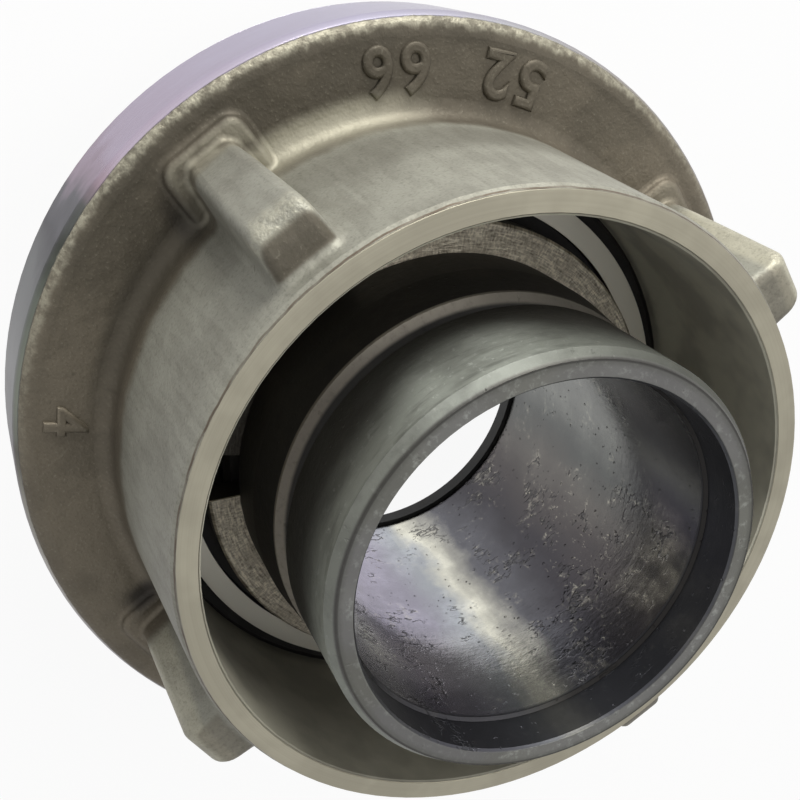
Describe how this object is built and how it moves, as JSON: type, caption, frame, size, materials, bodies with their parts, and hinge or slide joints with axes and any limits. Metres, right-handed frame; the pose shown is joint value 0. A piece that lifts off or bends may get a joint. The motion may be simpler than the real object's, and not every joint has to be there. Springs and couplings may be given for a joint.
{
  "type": "quarter turn fire hose coupling",
  "caption": "Cast aluminium hose coupling: a bayonet locking ring with hooks, spanner lugs and a skirt swivels on a ribbed hose tail behind a rubber face seal.",
  "frame": {"origin": "on the bore axis in the plane of the two hook tips, on which the coupling stands", "axes": "+Z along the bore towards the hose end, +X through the middle of one hook and one spanner lug"},
  "size_m": [0.099, 0.099, 0.0642],
  "materials": {
    "cast_ring": "blasted casting with turned rim",
    "cast_tail": "as cast and turned, dark",
    "retainer": "coarsely turned, brownish",
    "seal": "matte black"
  },
  "bodies": {
    "locking_ring": {"locking_ring": "cast_ring"},
    "hose_tail": {"hose_tail": "cast_tail", "retaining_ring": "retainer", "sealing_ring": "seal"}
  },
  "joints": [
    {"name": "tail_swivel", "type": "hinge", "parent": "locking_ring", "child": "hose_tail", "pos_m": [0, 0, 0.024], "axis": [0, 0, 1], "continuous": true}
  ]
}
